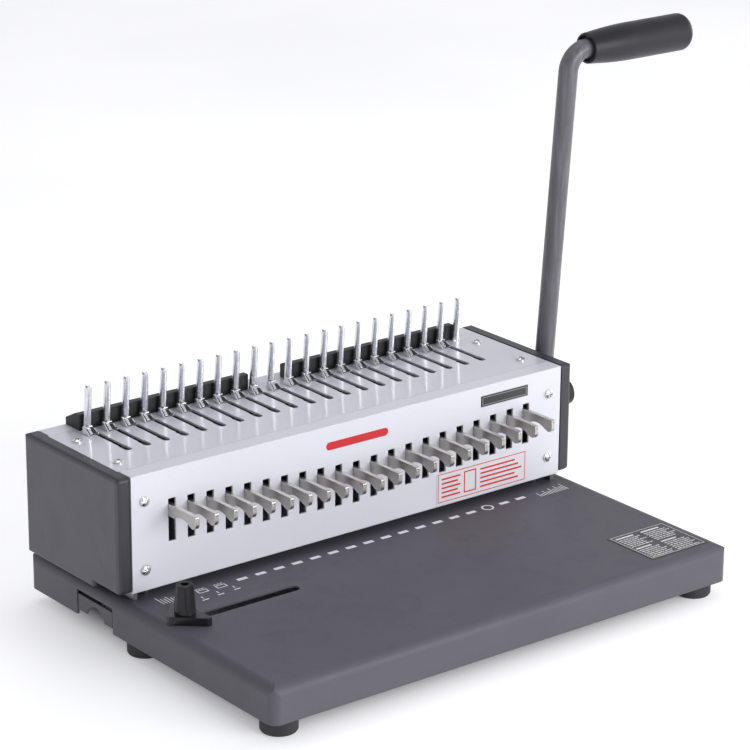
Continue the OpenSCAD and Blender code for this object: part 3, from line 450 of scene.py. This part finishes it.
def prong_rings(centre_x, rng):
    """Sheet rolled to an open tube, tapering to an uneven pointed tip."""
    twist = rng.uniform(-3.0, 3.0)
    tilt = rng.uniform(-0.12, 0.22)
    gap_middle = -40.0 + twist  # degrees; the gap opens to the front right
    rings = []
    for step in range(PRONG_STEPS + 1):
        u = step / PRONG_STEPS
        radius = PRONG_RADIUS - 0.5 * u - 0.15 * max(0.0, (u - 0.9) / 0.1) ** 1.5
        half_gap = 48.0 + 4.0 * max(0.0, (u - 0.7) / 0.3)
        start, end = gap_middle + half_gap, gap_middle + 360.0 - half_gap
        outside = [(radius, q) for q in range(PRONG_ARC + 1)]
        inside = [(radius - PRONG_WALL, q) for q in range(PRONG_ARC, -1, -1)]
        ring = []
        for wall_radius, q in outside + inside:
            v = q / PRONG_ARC
            angle = math.radians(start + (end - start) * v)
            z = PRONG_HEIGHT * u
            if u > TIP_START:
                tip = 1.0 - TIP_START
                peak = max(height * math.exp(-((v - centre) / width) ** 2)
                           for height, centre, width in TIP_PEAKS)
                rise = (u - TIP_START) / tip * (0.57 + 0.45 * peak)
                z = PRONG_HEIGHT * (TIP_START + tip * rise)
            ring.append((centre_x + wall_radius * math.cos(angle) + (0.5 + tilt) * u,
                         PRONG_Y + wall_radius * math.sin(angle) - z * PRONG_LEAN,
                         TOP_Z + 0.03 + z))
        rings.append(ring)
    return rings


rng = random.Random(5)
bm = bmesh.new()
for centre_x in PRONG_XS:
    capped_skin(bm, prong_rings(centre_x, rng))
prongs = add_piece("prongs_rolled", bm, "chrome_plate", "frame", sharp=50.0)
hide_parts("comb_prongs")

# pressed collars where the prongs stand on the plate: squarish outside, oval inside
COLLAR_Y = 84.9
bm = bmesh.new()
for centre_x in PRONG_XS:
    collar_x = centre_x - 0.2
    outer, shoulder, inner = [], [], []
    for c, s in circle(24):
        square = (abs(c) ** 3 + abs(s) ** 3) ** (-1 / 3)
        dx, dy = 3.3 * square * c, 2.25 * square * s
        outer.append((collar_x + dx, COLLAR_Y + dy))
        shoulder.append((collar_x + dx * 0.94, COLLAR_Y + dy * 0.94))
        inner.append((centre_x + 2.5 * c, COLLAR_Y + 1.8 * s))
    # outline and height over the plate, up the outside and down the inside
    levels = [(outer, 0.02), (outer, 0.8), (shoulder, 1.05), (inner, 1.05), (inner, 0.02)]
    rings = ring_verts(bm, [[(x, y, TOP_Z + z) for x, y in line] for line, z in levels])
    for ring, other in zip(rings, rings[1:] + rings[:1]):
        band(bm, ring, other)
add_piece("prong_collars", bm, "chrome_plate", "frame")

# ------------------------------------------------------------------ moving hooks
HOOK_XS = [FIRST_X + PITCH * i for i in range(21)]
# side lines: y, height over the top plate
LIP = [(75.8, 0.95), (77.2, 2.0), (78.6, 3.2), (79.8, 4.1), (80.7, 4.4), (81.4, 4.2)]
TURNED_EDGE = [(75.0, 0.65), (77.6, 3.0), (80.2, 5.35), (81.2, 5.4), (82.0, 4.8)]


def side_prism(bm, outline, x0, x1):
    """Prism along X of an outline given as y, height over the top plate."""
    prism(bm, [(y, TOP_Z + z) for y, z in outline], "x", x0, x1)


def strip(bm, x0, x1, line, thickness):
    """Bent strip whose upper face follows the line."""
    upper = [Vector(point) for point in line]
    lower = []
    for k, point in enumerate(upper):
        before = upper[max(k - 1, 0)]
        after = upper[min(k + 1, len(upper) - 1)]
        along = (after - before).normalized()
        lower.append(point + Vector((along.y, -along.x)) * thickness)
    side_prism(bm, upper + lower[::-1], x0, x1)


def side_plate(bm, x0, x1, drop):
    """Upright plate, low at the front and rising to the rear; drop lowers the rear."""
    side_prism(bm, [(75.5, 0.42), (82.1, 0.42), (82.1, 4.4 - drop), (81.4, 5.1 - drop),
                    (80.2, 5.1 - drop), (78.0, 3.1 - drop), (75.5, 1.0)], x0, x1)


bm = bmesh.new()
for x in HOOK_XS:
    # tall left plate and the low plate that stands in the slot
    side_plate(bm, x - 7.9, x - 7.3, drop=0.0)
    side_plate(bm, x - 0.6, x + 0.5, drop=2.4)
    # bright lip between the plates, falling forward
    strip(bm, x - 6.1, x - 4.1, LIP, thickness=0.4)
    # narrow turned edge along the tall plate
    strip(bm, x - 8.05, x - 7.15, TURNED_EDGE, thickness=0.3)
    # round bar across, in front of the prong
    side_prism(bm, [(81.1 + 0.45 * c, 4.1 + 0.45 * s) for c, s in circle(14)], x - 7.6, x - 1.2)
    # stem through the slot down to the carriage
    prism(bm, rectangle(x - 0.55, x + 0.5, 76.5, 81.3), "z", 110.02, TOP_Z + 0.5)
hooks = add_piece("hooks_folded", bm, "hook_plate", "comb_carriage", sharp=35.0)
bevel = hooks.modifiers.new("edge", "BEVEL")
bevel.width = 0.1 / 1000.0
bevel.segments = 2
bevel.limit_method = "ANGLE"
bevel.angle_limit = math.radians(35.0)
bevel.harden_normals = False
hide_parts("comb_hooks")

# dark blocks between the plates that stand in for the shade there, a painted shadow: x from, x to
# (off the slot), drop of the rear
SHADE_BLOCKS = [(-7.25, -4.0, 0.75), (-3.9, -0.65, 1.5)]
bm = bmesh.new()
for x in HOOK_XS:
    for x0, x1, drop in SHADE_BLOCKS:
        side_prism(bm, [(76.1, 0.44), (81.3, 0.44), (81.3, 3.9 - drop), (80.4, 4.1 - drop),
                        (78.4, 3.0 - drop * 0.8), (76.1, 0.7)], x + x0, x + x1)
add_piece("hook_shade_blocks", bm, "blackened_bolt", "comb_carriage", sharp=35.0)

# ------------------------------------------------------------------ coil springs
SPRING_X, SPRING_Y = 158.0, 9.6  # one spring at each end, at -X and +X
SPRING_TOP = 70.0
SPRING_RADIUS = 4.65
WIRE_RADIUS = 0.48
SPRING_TURNS = 8.0
STEPS_PER_TURN = 28
EASE = 0.12                      # share of the rise that slows towards both ends


def coil_rings(x, y):
    """Round wire wound from the base plate up, slightly closer at both ends."""
    rings = []
    steps = int(SPRING_TURNS * STEPS_PER_TURN)
    rise = SPRING_TOP - BASE_Z - 2 * WIRE_RADIUS
    for i in range(steps + 1):
        u = i / steps
        angle = 2 * math.pi * SPRING_TURNS * u
        eased = (0.5 - 0.5 * math.cos(math.pi * u)) * EASE + u * (1 - EASE)
        z = BASE_Z + WIRE_RADIUS + rise * eased
        ring = []
        for c, s in circle(10):
            radius = SPRING_RADIUS + WIRE_RADIUS * c
            ring.append((x + radius * math.cos(angle), y + radius * math.sin(angle),
                         z + WIRE_RADIUS * s))
        rings.append(ring)
    return rings


bm = bmesh.new()
for side in (-1, 1):
    capped_skin(bm, coil_rings(side * SPRING_X, SPRING_Y))
springs = add_piece("coil_springs", bm, "spring_steel", "frame", sharp=80.0)
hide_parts("beam_springs")
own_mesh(springs)

# ------------------------------------------------------------------ printed marks and labels
INK = 0.04       # thickness of a printed mark
LABEL_Y = -0.3   # face of the labels on the front panel


def flat(bm, x0, x1, y0, y1, z):
    """Bar printed on a level face."""
    prism(bm, rectangle(x0, x1, y0, y1), "z", z, z + INK)


def front(bm, x0, x1, z0, z1, y):
    """Bar printed on a face that looks to the front."""
    prism(bm, rectangle(x0, x1, z0, z1), "y", y - INK, y)


def outline(bar, bm, x0, x1, low, high, width, level):
    """Rectangular line made of four bars, each flat or front."""
    bar(bm, x0, x1, low, low + width, level)
    bar(bm, x0, x1, high - width, high, level)
    bar(bm, x0, x0 + width, low + width, high - width, level)
    bar(bm, x1 - width, x1, low + width, high - width, level)


def add_print(name, bm, finish):
    add_piece(name, bm, finish, "frame", smooth=False)


# white marks on the base: a bar at each hole, but a ring in place of bar 18
bm = bmesh.new()
for i in range(4, 21):
    if i != 18:
        x = (i - 11) * PITCH + 2.3
        flat(bm, x - 3.8, x + 3.8, -12.1, -8.9, BASE_Z)
rings = ring_verts(bm, [[(102.4 + r * c, -10.4 + r * s, BASE_Z + INK) for c, s in circle(24)]
                        for r in (4.4, 3.2)])
band(bm, *rings)
# stepped scale lines at both ends of the row, every third one longer
for k in range(13):
    x = 144.6 + 1.95 * k
    flat(bm, x, x + 0.6, -16.6, -16.6 + (3.2 if k % 3 else 6.4) + 0.35 * k, BASE_Z)
    if k < 8:
        x = -159.2 + 2.1 * k
        flat(bm, x, x + 0.55, -14.4, -14.4 + (8.6 if k % 3 else 11.0) - 0.6 * k, BASE_Z)
# paper outlines with short ticks
for x, y in ((-132.4, -13.9), (-118.6, -14.2)):
    outline(flat, bm, x, x + 7.5, y, y + 4.4, 0.7, BASE_Z)
    for k in range(3):
        flat(bm, x + 0.3 + 2.5 * k, x + 2.0 + 2.5 * k, y + 5.6, y + 6.4, BASE_Z)
# dashes, each with a short upright behind it
for x, y in ((-134.6, -23.6), (-122.2, -22.3), (-109.4, -21.6)):
    flat(bm, x - 2.4, x + 2.4, y - 0.5, y + 0.5, BASE_Z)
    flat(bm, x - 0.4, x + 0.4, y + 2.4, y + 5.2, BASE_Z)
add_print("printed_marks", bm, "print_white")

# plain red bar with round ends on the panel
BAR_X0, BAR_X1, BAR_Z0, BAR_Z1 = -24.0, 26.0, 99.6, 105.0
BAR_RADIUS = 2.69
left, right = BAR_X0 + BAR_RADIUS, BAR_X1 - BAR_RADIUS
low, high = BAR_Z0 + BAR_RADIUS, BAR_Z1 - BAR_RADIUS
points = []
for x, z, start in ((right, high, 0), (left, high, 90), (left, low, 180), (right, low, 270)):
    for k in range(9):
        angle = math.radians(start + 90 * k / 8)
        points.append((x + BAR_RADIUS * math.cos(angle), z + BAR_RADIUS * math.sin(angle)))
bm = bmesh.new()
prism(bm, points, "y", -0.05, 0.0)
add_print("red_bar", bm, "print_red")

# name plate: blank, with a thin inset line
bm = bmesh.new()
outline(front, bm, 105.0, 142.9, 102.6, 108.1, 0.35, LABEL_Y)
add_print("plate_line", bm, "print_grey")

# pale label: red edge, a red box and plain bars on both sides of it
bm = bmesh.new()
outline(front, bm, 68.0, 143.2, 42.1, 62.2, 0.55, LABEL_Y)
outline(front, bm, 90.0, 100.5, 44.6, 59.8, 0.9, LABEL_Y)
for k in range(5):
    z = 45.2 + 3.1 * k
    front(bm, 71.0, 87.0 - 2.2 * (k % 2), z, z + 1.2, LABEL_Y)
    front(bm, 104.0, 140.0 - 3.0 * ((k + 1) % 3), z, z + 1.2, LABEL_Y)
add_print("label_lines", bm, "print_red")

# plate on the base: four blocks of short dashes, each with a plain bar behind it
PLATE_Z = BASE_Z + 0.25
ROWS, ROW_STEP = 6, 2.45
bm = bmesh.new()
outline(flat, bm, 129.4, 174.9, -141.4, -100.9, 0.35, PLATE_Z)
rng = random.Random(11)
for x0, x1 in ((131.2, 151.2), (153.0, 173.4)):
    for y0 in (-139.8, -120.4):
        for k in range(ROWS):
            y = y0 + ROW_STEP * k
            x = x0
            end = x1 - rng.uniform(0.0, 5.0)
            while x < end - 1.0:
                width = min(end - x, rng.uniform(1.2, 4.2))
                flat(bm, x, x + width, y, y + 0.8, PLATE_Z)
                x += width + 0.55
        y = y0 + ROW_STEP * ROWS + 0.4
        flat(bm, x0, x0 + 12.0 + rng.uniform(0.0, 4.0), y, y + 1.5, PLATE_Z)
add_print("plate_dashes", bm, "print_white")

# ------------------------------------------------------------------ floor
mesh = bpy.data.meshes.new("floor")
bm = bmesh.new()
bmesh.ops.create_grid(bm, x_segments=1, y_segments=1, size=6.0)
bm.to_mesh(mesh)
bm.free()
floor = bpy.data.objects.new("floor", mesh)
floor.location = (0.0, 0.0, -0.0002)
scene.collection.objects.link(floor)
g = Finish("pale_floor")
mask = g.spots(scale=3.0, detail=3.0, rough=0.5, start=0.3, end=0.7)
shade = g.mix(mask, (0.86, 0.86, 0.87), (0.90, 0.90, 0.91))
# the floor glows, a painted light, but not under the machine: there a painted shadow keeps its
# openings and the gap below it dark
split = g.new("ShaderNodeSeparateXYZ", {0: g.place})
MACHINE_OFFSET = 0.056  # the machine's middle lies this far to -X
GLOW = 0.40
from_middle = g.math("ABSOLUTE", g.math("ADD", split.outputs["X"], MACHINE_OFFSET))
far_x = g.ramp(from_middle, start=0.150, end=0.178)
far_y = g.ramp(g.math("ABSOLUTE", split.outputs["Y"]), start=0.104, end=0.130)
glow = g.math("MULTIPLY", g.math("MAXIMUM", far_x, far_y), GLOW)
for key, value in {"Base Color": shade, "Roughness": 0.6, "Emission Color": shade,
                   "Emission Strength": glow}.items():
    g.feed(g.bsdf.inputs[key], value)
mesh.materials.append(g.mat)

# ------------------------------------------------------------------ world
world = bpy.data.worlds.new("studio")
scene.world = world
g = Graph(world)
output = g.new("ShaderNodeOutputWorld")
background = g.new("ShaderNodeBackground", {"Strength": 1.02})
direction = g.new("ShaderNodeTexCoord").outputs["Generated"]
split = g.new("ShaderNodeSeparateXYZ", {0: direction})
# white at the horizon, grey overhead
sky = g.new("ShaderNodeValToRGB", {0: split.outputs["Z"]})
stops = sky.color_ramp.elements
stops[0].position = 0.0
stops[0].color = (1.0, 1.0, 1.0, 1)
stops[1].position = 1.0
stops[1].color = (0.34, 0.345, 0.37, 1)
stops.new(0.30).color = (0.80, 0.80, 0.83, 1)
# the left side is dimmer
dimming = g.ramp(split.outputs["X"], start=-0.9, end=0.25, low=0.68, high=1.0)
g.link(g.mix(1.0, sky.outputs[0], dimming, blend="MULTIPLY"), background.inputs[0])
g.link(background.outputs[0], output.inputs[0])


# ------------------------------------------------------------------ lights
def aim_area(name, location, target, width, height, power):
    """Rectangular light facing a target."""
    light = bpy.data.lights.new(name, "AREA")
    light.shape = "RECTANGLE"
    light.size, light.size_y = width, height
    light.energy = power
    ob = bpy.data.objects.new(name, light)
    ob.location = location
    aim = Vector(target) - Vector(location)
    ob.rotation_euler = aim.to_track_quat("-Z", "Y").to_euler()
    scene.collection.objects.link(ob)


aim_area("key", location=(0.55, -2.1, 0.75), target=(0, 0, 0.08), width=1.5, height=0.9,
         power=30.0)
aim_area("top", location=(0.0, 0.3, 1.7), target=(0, 0, 0.05), width=1.4, height=0.9, power=5.0)
aim_area("fill_right", location=(1.9, -0.2, 0.6), target=(0, 0, 0.15), width=0.8, height=1.0,
         power=8.0)

# ------------------------------------------------------------------ camera
CAMERA_X, CAMERA_Y, CAMERA_Z = -1132.6, -1458.7, 785.1  # mm, in the drawing's frame
AZIMUTH, ELEVATION, ROLL = (math.radians(a) for a in (-38.105, 19.118, 0.371))
cam = bpy.data.cameras.new("camera")
camera = bpy.data.objects.new("camera", cam)
scene.collection.objects.link(camera)
back = Vector((math.sin(AZIMUTH) * math.cos(ELEVATION), -math.cos(AZIMUTH) * math.cos(ELEVATION),
               math.sin(ELEVATION)))
right = (-back).cross(Vector((0, 0, 1))).normalized()
up = right.cross(-back)
rolled_right = right * math.cos(ROLL) + up * math.sin(ROLL)
rolled_up = -right * math.sin(ROLL) + up * math.cos(ROLL)
location = Vector((CAMERA_X + ORIGIN_X, CAMERA_Y + ORIGIN_Y, CAMERA_Z)) / 1000.0
rows = zip(rolled_right, rolled_up, back, location)
camera.matrix_world = Matrix((*rows, (0, 0, 0, 1)))
cam.sensor_width = 36.0
cam.lens = 148.0248
cam.shift_x = 0.0058533333
cam.shift_y = 0.00176
cam.clip_start, cam.clip_end = 0.05, 50.0
scene.camera = camera
scene.view_settings.view_transform = "Standard"
scene.view_settings.look = "None"
